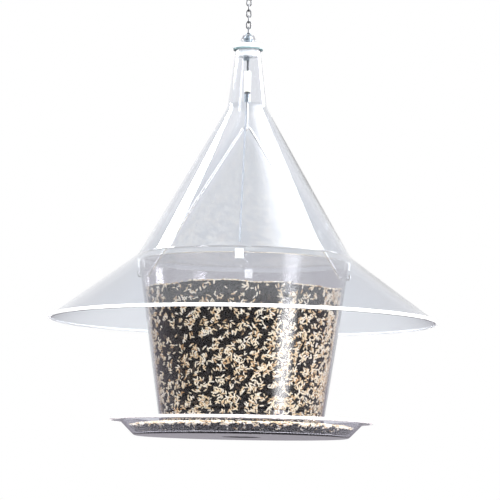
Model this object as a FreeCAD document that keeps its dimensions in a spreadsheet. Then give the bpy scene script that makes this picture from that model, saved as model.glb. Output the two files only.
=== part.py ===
# A clear hanging seed feeder: hood, tapered hopper, shallow tray and the hardware it hangs by.
# Millimetres. +Z is up. The origin is where the feeder hangs: the inside of the S-hook's upper
# bowl, on the feeder's axis. The wire bail lies in the XZ plane. Every height in the sheets is
# measured up from the tray's underside, and each piece's Placement lowers it to the origin.
# Each body is one real piece and writes one STEP file.
import FreeCAD, Part
import math
import os

import Sketcher

ORIGIN, H_AXIS, V_AXIS = -1, -1, -2
START, END, CENTRE = 1, 2, 3

# Driving dimensions: alias, value, meaning.
SIZES = [
    ("brim_radius", 195.0, "hood: radius to the middle of the rim bead"),
    ("brim_height", 117.3, "hood: height of the rim bead"),
    ("junction_gap", 1.0, "hood: how much its radius where cone and brim meet exceeds the hopper rim's"),
    ("junction_height", 181.9, "hood: height where cone and brim meet"),
    ("neck_base_radius", 20.0, "hood: outside radius where neck and cone meet"),
    ("neck_base_height", 334.8, "hood: height where neck and cone meet"),
    ("neck_top_radius", 12.6, "hood: outside radius of the neck's open top"),
    ("neck_top_height", 394.2, "hood: height of the neck's open top"),
    ("hood_wall", 2.4, "hood: wall thickness"),
    ("bead_radius", 2.0, "hood: radius of the rolled bead on the rim"),
    ("seam_width", 1.2, "hood: width of the moulded rib down the front of the cone"),
    ("seam_depth", 0.5, "hood: how far that rib stands in from the wall"),
    ("cap_radius", 15.7, "cap: radius of the flange"),
    ("cap_flange", 4.4, "cap: thickness of the flange"),
    ("cap_bore", 5.0, "cap: radius of the hole that the chain and ball pass through"),
    ("cap_plug_depth", 7.0, "cap: depth of the plug in the neck"),
    ("cap_fit", 0.3, "cap: radial clearance of the plug in the neck"),
    ("dome_radius", 8.0, "cap: radius of the collar that stands on the flange"),
    ("dome_height", 10.0, "cap: height of that collar"),
    ("gasket_thickness", 1.2, "ring under the cap's flange"),
    ("ball_radius", 4.5, "swivel ball: radius"),
    ("ball_lift", 10.8, "swivel ball: height of its centre above the neck's top"),
    ("eye_radius", 2.1, "swivel ball: radius of its eye, to the middle of the wire"),
    ("eye_wire", 0.6, "swivel ball: radius of the eye's wire"),
    ("eye_lift", 0.45, "swivel ball: height of the eye's middle above the ball"),
    ("rod_radius", 1.2, "hanger rods: radius"),
    ("rod_eye_wire", 1.35, "lower rod: radius of the wire of its eye"),
    ("rod_head_radius", 2.2, "upper rod: radius of the head inside the ball"),
    ("rod_head_height", 2.0, "upper rod: height of that head"),
    ("running_gap", 0.08, "radial clearance of turning fits"),
    ("ferrule_gap", 0.1, "ferrule: gap under the cap's plug"),
    ("ferrule_length", 3.8, "ferrule: length"),
    ("ferrule_width", 6.0, "ferrule: width across its flat"),
    ("ferrule_depth", 4.0, "ferrule: thickness"),
    ("ferrule_offset", 1.5, "ferrule: how far its middle stands off the rod"),
    ("sleeve_radius", 3.3, "coupling sleeve: radius"),
    ("sleeve_drop", 43.2, "coupling sleeve: how far its lower end is below the neck's top"),
    ("sleeve_length", 21.0, "coupling sleeve: length"),
    ("washer_radius", 3.0, "rubber washer: radius"),
    ("washer_thickness", 2.4, "rubber washer: thickness"),
    ("locknut_flats", 5.5, "lock nut: width across flats"),
    ("locknut_height", 8.6, "lock nut: height"),
    ("bail_wire", 1.2, "wire bail: radius of the wire"),
    ("bail_top", 314.2, "wire bail: height of the wire at the apex"),
    ("bail_bend", 4.5, "wire bail: bend radius at the apex"),
    ("bail_gap", 0.35, "wire bail: clearance in the lower rod's eye"),
    ("hook_height", 160.2, "wire bail: height of the hooked ends"),
    ("hook_tail", 5.0, "wire bail: length of the turned-up tails"),
    ("hook_bend", 1.8, "wire bail: bend radius at the hooks"),
    ("hole_gap", 0.4, "hopper: clearance of the bail holes round the wire"),
    ("rim_radius", 106.5, "hopper: outside radius at the rim"),
    ("rim_height", 175.3, "hopper: height of the rim"),
    ("foot_radius", 82.1, "hopper: outside radius at the lower edge"),
    ("seed_gap", 8.0, "height of the gap under the hopper that seed runs out of"),
    ("hopper_wall", 2.5, "hopper: wall thickness"),
    ("hub_radius", 9.0, "hopper: radius of the hub in its foot"),
    ("hub_top", 26.0, "hopper: height of the top of the hub and its arms"),
    ("arm_width", 3.0, "hopper: width of the four arms"),
    ("arm_depth", 9.0, "hopper: depth of the four arms"),
    ("clip_width", 8.0, "rim clips: width round the rim"),
    ("clip_leg", 6.5, "rim clips: how far the legs reach down the wall"),
    ("clip_wall", 1.5, "rim clips: thickness of the legs"),
    ("clip_gap", 0.1, "rim clips: clearance on the hopper's wall"),
    ("seat_gap", 0.35, "clearance between pieces that rest on each other but move apart"),
    ("lip_radius", 132.5, "tray: outside radius of the lip"),
    ("lip_underside", 14.7, "tray: height of the lip's underside"),
    ("dish_top_radius", 122.5, "tray: outside radius of the dish under the lip"),
    ("dish_foot_radius", 108.0, "tray: outside radius of the dish at its underside"),
    ("tray_wall", 3.0, "tray: wall thickness"),
    ("recess_radius", 19.5, "tray: radius of the recess for the thumb nut, at the underside"),
    ("recess_draft", 3.0, "tray: how much narrower the recess is at its top"),
    ("recess_depth", 8.4, "tray: depth of the recess"),
    ("bolt_radius", 3.0, "tray bolt: radius of the shank"),
    ("bolt_flats", 10.0, "tray bolt: width across the flats of its head"),
    ("bolt_head", 4.0, "tray bolt: height of its head"),
    ("bolt_end", 0.5, "tray bolt: height of its lower end"),
    ("bolt_clearance", 0.2, "radial clearance of the bolt in the hub and the tray"),
    ("tray_washer_radius", 8.0, "tray washer: radius"),
    ("tray_washer_thickness", 1.3, "tray washer: thickness"),
    ("thumb_radius", 12.0, "thumb nut: radius over the lobes"),
    ("thumb_height", 5.6, "thumb nut: height"),
    ("thumb_scallop", 2.2, "thumb nut: radius of the hollows between the lobes"),
    ("spreader_radius", 40.0, "seed spreader: radius at its foot"),
    ("spreader_tip", 3.0, "seed spreader: radius at its tip"),
    ("spreader_height", 30.0, "seed spreader: height"),
    ("spreader_wall", 1.8, "seed spreader: wall thickness"),
    ("seed_level", 150.0, "seed in the hopper: height of its surface"),
    ("seed_clearance", 0.3, "clearance round the seed"),
    ("link_wire", 0.7, "chain: radius of the wire"),
    ("link_width", 5.5, "chain: outside width of a link"),
    ("link_pitch", 6.0, "chain: inside length of a link"),
    ("link_count", 7, "chain: number of links"),
    ("link_play", 0.05, "chain: clearance between two links"),
    ("s_hook_wire", 1.2, "S-hook: radius of the wire"),
    ("s_hook_small", 6.0, "S-hook: radius of the lower bowl, to the middle of the wire"),
    ("s_hook_large", 10.0, "S-hook: radius of the upper bowl, to the middle of the wire"),
    ("s_hook_span", 26.0, "S-hook: distance between the middles of the bowls"),
]

# Sizes worked out from the driving ones.
DERIVED = [
    ("junction_radius", "rim_radius + junction_gap"),
    ("ball_height", "neck_top_height + ball_lift"),
    ("ferrule_top", "neck_top_height - cap_plug_depth - ferrule_gap"),
    ("sleeve_base", "neck_top_height - sleeve_drop"),
    ("cone_slope", "(junction_radius - neck_base_radius) / (neck_base_height - junction_height)"),
    ("cone_across", "sqrt(1 + cone_slope ^ 2)"),
    ("wall_slope", "(rim_radius - foot_radius) / (rim_height - foot_height)"),
    ("foot_height", "tray_wall + seed_gap"),
    ("boss_top", "recess_depth + tray_wall"),
    ("brim_slope", "(junction_height - brim_height) / (brim_radius - junction_radius)"),
    ("brim_drop", "hood_wall * sqrt(1 + brim_slope ^ 2)"),
    ("clip_outside", "rim_radius + clip_gap + clip_wall"),
    ("clip_top", "junction_height - brim_drop - (clip_outside - junction_radius) * brim_slope - seat_gap"),
    ("gasket_base", "neck_top_height"),
    ("flange_base", "gasket_base + gasket_thickness"),
    ("dome_base", "flange_base + cap_flange"),
    ("plug_radius", "neck_top_radius - hood_wall - cap_fit"),
    ("eye_height", "ball_height + ball_radius + eye_lift"),
    ("head_base", "ball_height - rod_head_radius"),
    ("first_link", "eye_height + eye_radius - eye_wire - link_wire - link_play + link_pitch / 2 + link_wire"),
    ("link_step", "link_pitch - link_play"),
    ("top_link", "first_link + link_step * (link_count - 1)"),
    ("top_link_foot", "top_link - link_pitch / 2 - link_wire"),
    ("hook_seat", "top_link + link_pitch / 2 - link_play - s_hook_wire"),
    ("upper_bowl", "hook_seat + s_hook_small + s_hook_span"),
    ("hang_height", "upper_bowl + s_hook_large - s_hook_wire"),
    ("hole_radius", "bail_wire + hole_gap"),
    ("thumb_top", "recess_depth - tray_washer_thickness"),
    ("recess_top_radius", "recess_radius - recess_draft"),
    ("spreader_base", "hub_top + seat_gap"),
]

ARMS = 4
CLIPS = 4
LOBES = 8


class Feeder:
    """The document, its two sheets, and what every piece needs from them."""

    def __init__(self):
        self.doc = FreeCAD.newDocument("SeedFeeder")
        self.names = {alias: "Sizes." + alias for alias, _, _ in SIZES}
        self.names.update({alias: "Derived." + alias for alias, _ in DERIVED})
        self.pieces = []
        sizes = self.doc.addObject("Spreadsheet::Sheet", "Sizes")
        for row, (alias, value, meaning) in enumerate(SIZES, start=1):
            sizes.set(f"A{row}", str(value))
            sizes.setAlias(f"A{row}", alias)
            sizes.set(f"B{row}", meaning)
        self.doc.recompute()
        derived = self.doc.addObject("Spreadsheet::Sheet", "Derived")
        for row, (alias, _) in enumerate(DERIVED, start=1):
            derived.setAlias(f"A{row}", alias)
        for row, (_, formula) in enumerate(DERIVED, start=1):
            derived.set(f"A{row}", "=" + self.full(formula, own="Derived."))
        self.doc.recompute()
        self.sizes = sizes

    def full(self, text, own=None):
        """Put the sheet's name in front of every alias in a formula."""
        words, word = [], ""
        for letter in text + " ":
            if letter.isalnum() or letter == "_":
                word += letter
                continue
            named = self.names.get(word, word)
            words.append(named[len(own):] if own and named.startswith(own) else named)
            words.append(letter)
            word = ""
        return "".join(words).strip()

    def value(self, text):
        """The number that a formula gives now."""
        result = self.sizes.evalExpression(self.full(text))
        return float(getattr(result, "Value", result))

    def bind(self, feature, path, text):
        feature.setExpression(path, self.full(text))

    def body(self, label):
        body = self.doc.addObject("PartDesign::Body", label)
        body.Label = label
        self.place(body)
        self.pieces.append(body)
        return body

    def place(self, piece, height=0.0, turn=0.0):
        """Put a piece at a height above the tray's underside, turned about the axis in degrees."""
        drop = FreeCAD.Vector(0, 0, height - self.value("hang_height"))
        piece.Placement = FreeCAD.Placement(drop, FreeCAD.Rotation(FreeCAD.Vector(0, 0, 1), turn))

    def sketch(self, body, name, plane):
        sketch = body.newObject("Sketcher::SketchObject", name)
        planes = {feature.Role: feature for feature in body.Origin.OriginFeatures}
        sketch.AttachmentSupport = [(planes[plane], "")]
        sketch.MapMode = "FlatFace"
        return sketch

    def locate(self, sketch, geometry, position, x, y):
        """Hold one point of a sketch at two formulas from its origin."""
        for kind, axis, text in (("DistanceX", V_AXIS, x), ("DistanceY", H_AXIS, y)):
            if text == "0":
                sketch.addConstraint(Sketcher.Constraint("PointOnObject", geometry, position, axis))
                continue
            index = sketch.addConstraint(
                Sketcher.Constraint(kind, ORIGIN, START, geometry, position, self.value(text))
            )
            self.bind(sketch, f"Constraints[{index}]", text)

    def polyline(self, sketch, points, closed):
        """Lines through the points, joined end to end."""
        places = [FreeCAD.Vector(self.value(x), self.value(y), 0) for x, y in points]
        ends = places[1:] + places[:1] if closed else places[1:]
        lines = [sketch.addGeometry(Part.LineSegment(a, b), False) for a, b in zip(places, ends)]
        for first, second in zip(lines, lines[1:]):
            sketch.addConstraint(Sketcher.Constraint("Coincident", first, END, second, START))
        if closed:
            sketch.addConstraint(Sketcher.Constraint("Coincident", lines[-1], END, lines[0], START))
        for line, (x, y) in zip(lines, points):
            self.locate(sketch, line, START, x, y)
        if not closed:
            self.locate(sketch, lines[-1], END, *points[-1])
        return lines

    def outline(self, body, name, plane, points):
        sketch = self.sketch(body, name, plane)
        self.polyline(sketch, points, closed=True)
        return sketch

    def circle(self, body, name, plane, x, y, radius):
        sketch = self.sketch(body, name, plane)
        centre = FreeCAD.Vector(self.value(x), self.value(y), 0)
        ring = sketch.addGeometry(Part.Circle(centre, FreeCAD.Vector(0, 0, 1), self.value(radius)), False)
        self.locate(sketch, ring, CENTRE, x, y)
        index = sketch.addConstraint(Sketcher.Constraint("Radius", ring, self.value(radius)))
        self.bind(sketch, f"Constraints[{index}]", radius)
        return sketch

    def wall(self, body, name, points, thickness, side, level_start, level_end):
        """A wall of one thickness along a line of points in the XZ plane.

        side is +1 for a second skin on the left of the line and -1 for one on its right.
        A level end is cut flat, any other is cut square.
        """
        sketch = self.sketch(body, name, "XZ_Plane")
        outer = self.polyline(sketch, points, closed=False)
        places = [FreeCAD.Vector(self.value(x), self.value(y), 0) for x, y in points]
        shifted = offsetPoints(places, self.value(thickness) * side, level_start, level_end)
        inner = [
            sketch.addGeometry(Part.LineSegment(a, b), False) for a, b in zip(shifted, shifted[1:])
        ]
        for first, second in zip(inner, inner[1:]):
            sketch.addConstraint(Sketcher.Constraint("Coincident", first, END, second, START))
        for near, far in zip(outer, inner):
            sketch.addConstraint(Sketcher.Constraint("Parallel", near, far))
            index = sketch.addConstraint(
                Sketcher.Constraint("Distance", far, START, near, self.value(thickness))
            )
            self.bind(sketch, f"Constraints[{index}]", thickness)
        ends = (
            (outer[0], START, inner[0], START, places[0], shifted[0], level_start),
            (outer[-1], END, inner[-1], END, places[-1], shifted[-1], level_end),
        )
        for near, near_end, far, far_end, start, end, level in ends:
            cap = sketch.addGeometry(Part.LineSegment(start, end), False)
            sketch.addConstraint(Sketcher.Constraint("Coincident", near, near_end, cap, START))
            sketch.addConstraint(Sketcher.Constraint("Coincident", far, far_end, cap, END))
            if level:
                sketch.addConstraint(Sketcher.Constraint("Horizontal", cap))
            else:
                sketch.addConstraint(Sketcher.Constraint("Perpendicular", near, cap))
        return sketch

    def revolve(self, body, sketch, name="Revolution"):
        turn = body.newObject("PartDesign::Revolution", name)
        turn.Profile = sketch
        turn.ReferenceAxis = (sketch, ["V_Axis"])
        turn.Angle = 360
        self.doc.recompute()
        return turn

    def pad(self, body, sketch, length, symmetric=False, name="Pad"):
        pad = body.newObject("PartDesign::Pad", name)
        pad.Profile = sketch
        pad.SideType = "Symmetric" if symmetric else "One side"
        self.bind(pad, "Length", length)
        self.doc.recompute()
        return pad

    def raise_sketch(self, sketch, height):
        """Lift a sketch that lies in the XY plane to a height."""
        self.bind(sketch, "AttachmentOffset.Base.z", height)

    def cut_through(self, body, sketch, name="Pocket"):
        before = body.Shape.Volume
        pocket = body.newObject("PartDesign::Pocket", name)
        pocket.Profile = sketch
        pocket.Type = "ThroughAll"
        pocket.SideType = "Symmetric"
        self.doc.recompute()
        if not body.Shape.Volume < before:
            raise RuntimeError(f"{body.Label}: {name} cuts nothing")
        return pocket

    def polar(self, body, feature, count, name):
        pattern = body.newObject("PartDesign::PolarPattern", name)
        pattern.Originals = [feature]
        axes = {item.Role: item for item in body.Origin.OriginFeatures}
        pattern.Axis = (axes["Z_Axis"], [""])
        pattern.Angle = 360
        pattern.Occurrences = count
        body.Tip = pattern
        self.doc.recompute()
        return pattern

    def fillet(self, body, places, radius, name="Fillet"):
        """Round the circular edges that lie at (radius, height) places."""
        self.doc.recompute()
        wanted = [(self.value(r), self.value(z)) for r, z in places]
        edges = []
        for index, edge in enumerate(body.Tip.Shape.Edges, start=1):
            curve = edge.Curve
            if not isinstance(curve, Part.Circle):
                continue
            if any(math.hypot(curve.Radius - r, curve.Center.z - z) < 0.02 for r, z in wanted):
                edges.append(f"Edge{index}")
        if len(edges) < len(wanted):
            raise RuntimeError(f"{body.Label}: {name} finds {len(edges)} of {len(wanted)} edges")
        fillet = body.newObject("PartDesign::Fillet", name)
        fillet.Base = (body.Tip if body.Tip is not fillet else fillet.BaseFeature, edges)
        self.bind(fillet, "Radius", radius)
        self.doc.recompute()
        return fillet

    def feature(self, label, shape):
        piece = self.doc.addObject("Part::Feature", label)
        piece.Label = label
        piece.Shape = shape
        self.place(piece)
        self.pieces.append(piece)
        return piece


def offsetPoints(points, distance, level_start, level_end):
    """The corners of a line that runs beside another at a distance, on its left if positive."""
    runs = [(b - a).normalize() for a, b in zip(points, points[1:])]
    left = [FreeCAD.Vector(-run.y, run.x, 0) for run in runs]
    result = []
    for index, point in enumerate(points):
        if 0 < index < len(points) - 1:
            before, after = left[index - 1], left[index]
            result.append(point + (before + after) * (distance / (1 + before.dot(after))))
            continue
        normal = left[0] if index == 0 else left[-1]
        run = runs[0] if index == 0 else runs[-1]
        moved = point + normal * distance
        level = level_start if index == 0 else level_end
        if level:
            moved = moved - run * ((moved.y - point.y) / run.y)
        result.append(moved)
    return result


def bentWire(points, bends, radius):
    """Round wire of one radius through points in the XZ plane, with a bend at each inner point."""
    edges, start = [], points[0]
    for before, corner, after, bend in zip(points, points[1:], points[2:], bends):
        back = (before - corner).normalize()
        ahead = (after - corner).normalize()
        half = back.getAngle(ahead) / 2
        reach = bend / math.tan(half)
        middle = corner + (back + ahead).normalize() * (bend / math.sin(half) - bend)
        first, last = corner + back * reach, corner + ahead * reach
        edges.append(Part.LineSegment(start, first).toShape())
        edges.append(Part.Arc(first, middle, last).toShape())
        start = last
    edges.append(Part.LineSegment(start, points[-1]).toShape())
    return sweepCircle(Part.Wire(edges), points[0], points[1] - points[0], radius)


def sweepCircle(path, start, direction, radius):
    section = Part.Wire(Part.Circle(start, direction, radius).toShape())
    return path.makePipeShell([section], True, True)


# --- The hood and its cap ---------------------------------------------------------------------


def addHood(feeder):
    body = feeder.body("hood")
    skin = [
        ("neck_top_radius", "neck_top_height"),
        ("neck_base_radius", "neck_base_height"),
        ("junction_radius", "junction_height"),
        ("brim_radius", "brim_height"),
    ]
    wall = feeder.wall(body, "HoodWall", skin, "hood_wall", -1, True, False)
    feeder.revolve(body, wall, "HoodShell")
    bead = feeder.circle(body, "RimBead", "XZ_Plane", "brim_radius", "brim_height", "bead_radius")
    feeder.revolve(body, bead, "RimBeadRing")
    low, high = "junction_height + 4", "neck_base_height - 6"
    skin_at = "junction_radius - ({0} - junction_height) * cone_slope - {1} * cone_across"
    seam = [
        ("-(" + skin_at.format(low, "hood_wall / 2") + ")", low),
        ("-(" + skin_at.format(high, "hood_wall / 2") + ")", high),
        ("-(" + skin_at.format(high, "(hood_wall + seam_depth)") + ")", high),
        ("-(" + skin_at.format(low, "(hood_wall + seam_depth)") + ")", low),
    ]
    feeder.pad(body, feeder.outline(body, "SeamSide", "YZ_Plane", seam), "seam_width", True, "SeamRib")
    return body


def addCap(feeder):
    body = feeder.body("cap")
    outline = [
        ("cap_bore", "neck_top_height - cap_plug_depth"),
        ("plug_radius", "neck_top_height - cap_plug_depth"),
        ("plug_radius", "flange_base"),
        ("cap_radius", "flange_base"),
        ("cap_radius", "dome_base - 0.8"),
        ("cap_radius - 0.8", "dome_base"),
        ("dome_radius", "dome_base"),
        ("dome_radius - 0.4", "dome_base + dome_height * 0.45"),
        ("dome_radius - 1.2", "dome_base + dome_height * 0.8"),
        ("cap_bore + 0.8", "dome_base + dome_height"),
        ("cap_bore", "dome_base + dome_height"),
    ]
    feeder.revolve(body, feeder.outline(body, "CapOutline", "XZ_Plane", outline))
    return body


def addGasket(feeder):
    body = feeder.body("cap_gasket")
    outline = [
        ("plug_radius + cap_fit", "gasket_base"),
        ("cap_radius - 0.6", "gasket_base"),
        ("cap_radius - 0.6", "flange_base"),
        ("plug_radius + cap_fit", "flange_base"),
    ]
    feeder.revolve(body, feeder.outline(body, "GasketOutline", "XZ_Plane", outline))
    return body


# --- The hopper and what is moulded or clipped to it --------------------------------------------


def addHopper(feeder):
    body = feeder.body("hopper")
    skin = [("foot_radius", "foot_height"), ("rim_radius", "rim_height")]
    wall = feeder.wall(body, "HopperWall", skin, "hopper_wall", 1, True, True)
    feeder.revolve(body, wall, "HopperShell")
    arm_reach = "foot_radius + (hub_top - arm_depth - foot_height) * wall_slope - hopper_wall * 0.4"
    arm = [
        ("bolt_radius + bolt_clearance + 1", "hub_top - arm_depth"),
        (arm_reach, "hub_top - arm_depth"),
        (arm_reach, "hub_top"),
        ("bolt_radius + bolt_clearance + 1", "hub_top"),
    ]
    pad = feeder.pad(body, feeder.outline(body, "ArmSide", "XZ_Plane", arm), "arm_width", True, "Arm")
    feeder.polar(body, pad, ARMS, "Arms")
    hub = [
        ("bolt_radius + bolt_clearance", "boss_top + seat_gap"),
        ("hub_radius", "boss_top + seat_gap"),
        ("hub_radius", "hub_top"),
        ("bolt_radius + bolt_clearance", "hub_top"),
    ]
    feeder.revolve(body, feeder.outline(body, "HubOutline", "XZ_Plane", hub), "Hub")
    hole = feeder.circle(body, "BailHole", "YZ_Plane", "0", "hook_height", "hole_radius")
    feeder.cut_through(body, hole, "BailHoles")
    return body


def addRimClip(feeder, index):
    """A clear clip pushed down over the rim: the hood rests on it and is centred by it."""
    body = feeder.body(f"rim_clip_{index + 1}")
    outside = "rim_radius + clip_gap"
    inside = "rim_radius - hopper_wall * sqrt(1 + wall_slope ^ 2) - clip_gap"
    lean = "wall_slope * clip_leg"
    outline = [
        (f"{outside} - {lean}", "rim_height - clip_leg"),
        (outside, "rim_height + clip_gap"),
        (inside, "rim_height + clip_gap"),
        (f"{inside} - {lean}", "rim_height - clip_leg"),
        (f"{inside} - clip_wall - {lean}", "rim_height - clip_leg"),
        (f"{inside} - clip_wall", "clip_top - 0.8"),
        (f"{inside} - clip_wall + 0.8", "clip_top"),
        ("clip_outside - 0.8", "clip_top"),
        ("clip_outside", "clip_top - 0.8"),
        (f"clip_outside - {lean}", "rim_height - clip_leg"),
    ]
    side = feeder.outline(body, "ClipSide", "XZ_Plane", outline)
    feeder.pad(body, side, "clip_width", True)
    feeder.place(body, turn=360.0 / CLIPS * index)
    return body


def addSpreader(feeder):
    body = feeder.body("seed_spreader")
    skin = [
        ("spreader_radius", "spreader_base"),
        ("spreader_tip", "spreader_base + spreader_height"),
        ("0", "spreader_base + spreader_height"),
    ]
    run = "(spreader_radius - spreader_tip)"
    slant = f"sqrt({run} ^ 2 + spreader_height ^ 2)"
    across = f"spreader_wall * {slant} / spreader_height"
    under = "(spreader_base + spreader_height - spreader_wall)"
    outline = skin + [
        ("0", under),
        (f"spreader_tip + spreader_wall * {run} / spreader_height - {across}", under),
        (f"spreader_radius - {across}", "spreader_base"),
    ]
    feeder.revolve(body, feeder.outline(body, "SpreaderOutline", "XZ_Plane", outline))
    return body


def addSeedFill(feeder):
    """The seed in the hopper, as one block that stands on the arms round the spreader."""
    body = feeder.body("seed_fill")
    room = "(hopper_wall * sqrt(1 + wall_slope ^ 2) + seed_clearance)"
    outline = [
        ("0", "spreader_base + spreader_height + seed_clearance"),
        ("spreader_tip + 0.6", "spreader_base + spreader_height + seed_clearance"),
        ("spreader_radius + 0.6", "hub_top + seed_clearance"),
        (f"foot_radius + (hub_top + seed_clearance - foot_height) * wall_slope - {room}",
         "hub_top + seed_clearance"),
        (f"foot_radius + (seed_level - foot_height) * wall_slope - {room}", "seed_level"),
        ("0", "seed_level"),
    ]
    feeder.revolve(body, feeder.outline(body, "SeedOutline", "XZ_Plane", outline))
    return body


# --- The tray and its fastening -----------------------------------------------------------------


def addTray(feeder):
    body = feeder.body("tray")
    skin = [
        ("bolt_radius + bolt_clearance", "recess_depth"),
        ("recess_top_radius", "recess_depth"),
        ("recess_radius", "0"),
        ("dish_foot_radius", "0"),
        ("dish_top_radius", "lip_underside"),
        ("lip_radius", "lip_underside"),
    ]
    wall = feeder.wall(body, "TrayWall", skin, "tray_wall", 1, False, False)
    feeder.revolve(body, wall, "TrayShell")
    feeder.fillet(body, [("dish_foot_radius", "0")], "tray_wall * 1.5", "FootRound")
    return body


def addTraySeed(feeder):
    """The seed that has run out over the tray's floor, under and round the hopper."""
    body = feeder.body("tray_seed")
    floor = "tray_wall + seed_clearance"
    wall_lean = "(dish_top_radius - dish_foot_radius) / lip_underside"
    foot = "dish_foot_radius - 2.5"
    top = "foot_height - seat_gap"
    outline = [
        ("recess_radius + tray_wall + 2", floor),
        (foot, floor),
        (f"{foot} + ({top} - ({floor})) * {wall_lean}", top),
        ("recess_radius + tray_wall + 2", top),
    ]
    feeder.revolve(body, feeder.outline(body, "TraySeedOutline", "XZ_Plane", outline))
    return body


def hexagon(flats):
    corner = f"{flats} / sqrt(3)"
    half = f"{flats} / 2"
    return [
        (corner, "0"), (f"{corner} / 2", half), (f"-{corner} / 2", half),
        (f"-{corner}", "0"), (f"-{corner} / 2", f"-{half}"), (f"{corner} / 2", f"-{half}"),
    ]


def addTrayBolt(feeder):
    body = feeder.body("tray_bolt")
    head = feeder.outline(body, "HeadFlats", "XY_Plane", hexagon("bolt_flats"))
    feeder.raise_sketch(head, "hub_top")
    feeder.pad(body, head, "bolt_head", name="Head")
    shank = [
        ("0", "bolt_end"),
        ("bolt_radius - 0.6", "bolt_end"),
        ("bolt_radius", "bolt_end + 0.6"),
        ("bolt_radius", "hub_top + 1"),
        ("0", "hub_top + 1"),
    ]
    feeder.revolve(body, feeder.outline(body, "ShankOutline", "XZ_Plane", shank), "Shank")
    return body


def addTrayWasher(feeder):
    body = feeder.body("tray_washer")
    outline = [
        ("bolt_radius + bolt_clearance", "thumb_top"),
        ("tray_washer_radius", "thumb_top"),
        ("tray_washer_radius", "recess_depth"),
        ("bolt_radius + bolt_clearance", "recess_depth"),
    ]
    feeder.revolve(body, feeder.outline(body, "WasherOutline", "XZ_Plane", outline))
    return body


def addThumbNut(feeder):
    body = feeder.body("thumb_nut")
    bore = "bolt_radius + running_gap"
    outline = [
        (bore, "thumb_top - thumb_height"),
        ("thumb_radius - 1", "thumb_top - thumb_height"),
        ("thumb_radius", "thumb_top - thumb_height + 1"),
        ("thumb_radius", "thumb_top - 1"),
        ("thumb_radius - 1", "thumb_top"),
        (bore, "thumb_top"),
    ]
    feeder.revolve(body, feeder.outline(body, "NutOutline", "XZ_Plane", outline))
    hollow = feeder.circle(body, "Hollow", "XY_Plane", "thumb_radius + 1", "0", "thumb_scallop")
    pocket = feeder.cut_through(body, hollow, "HollowCut")
    feeder.polar(body, pocket, LOBES, "Lobes")
    return body


# --- The hanger ---------------------------------------------------------------------------------


def addUpperRod(feeder):
    body = feeder.body("upper_rod")
    outline = [
        ("0", "sleeve_base + sleeve_length / 2 + 0.5"),
        ("rod_radius", "sleeve_base + sleeve_length / 2 + 0.5"),
        ("rod_radius", "head_base + running_gap"),
        ("rod_head_radius", "head_base + running_gap"),
        ("rod_head_radius", "head_base + rod_head_height"),
        ("0", "head_base + rod_head_height"),
    ]
    feeder.revolve(body, feeder.outline(body, "RodOutline", "XZ_Plane", outline))
    return body


def addFerrule(feeder):
    """A crimped ferrule round the upper rod, wider on one side."""
    body = feeder.body("crimp_ferrule")
    left, right = "-ferrule_offset - ferrule_width / 2", "-ferrule_offset + ferrule_width / 2"
    front, back = "-ferrule_depth / 2", "ferrule_depth / 2"
    corners = [(left, front), (right, front), (right, back), (left, back)]
    block = feeder.outline(body, "BlockOutline", "XY_Plane", corners)
    feeder.raise_sketch(block, "ferrule_top - ferrule_length")
    feeder.pad(body, block, "ferrule_length")
    bore = feeder.circle(body, "Bore", "XY_Plane", "0", "0", "rod_radius + running_gap")
    feeder.cut_through(body, bore)
    return body


def addRing(feeder, label, bore, radius, base, height):
    """A plain ring on the axis: two radii, a base and a height."""
    body = feeder.body(label)
    top = f"{base} + {height}"
    outline = [(bore, base), (radius, base), (radius, top), (bore, top)]
    feeder.revolve(body, feeder.outline(body, "RingOutline", "XZ_Plane", outline))
    return body


def addLockNut(feeder):
    body = feeder.body("lock_nut")
    flats = feeder.outline(body, "NutFlats", "XY_Plane", hexagon("locknut_flats"))
    feeder.raise_sketch(flats, "sleeve_base - washer_thickness - locknut_height")
    feeder.pad(body, flats, "locknut_height")
    bore = feeder.circle(body, "Bore", "XY_Plane", "0", "0", "rod_radius + running_gap")
    feeder.cut_through(body, bore)
    return body


def addLowerRod(feeder):
    """The rod below the sleeve, which ends in an eye round the bail's apex."""
    body = feeder.body("lower_rod")
    loop = "bail_wire + bail_gap + rod_eye_wire"
    addEye(feeder, body, "YZ_Plane", ("0", loop), "bail_top", "rod_eye_wire")
    middle = f"bail_top + {loop}"
    shank = [
        ("0", middle),
        ("rod_radius", middle),
        ("rod_radius", "sleeve_base + sleeve_length / 2 - 0.5"),
        ("0", "sleeve_base + sleeve_length / 2 - 0.5"),
    ]
    feeder.revolve(body, feeder.outline(body, "ShankOutline", "XZ_Plane", shank), "Shank")
    return body


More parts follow.
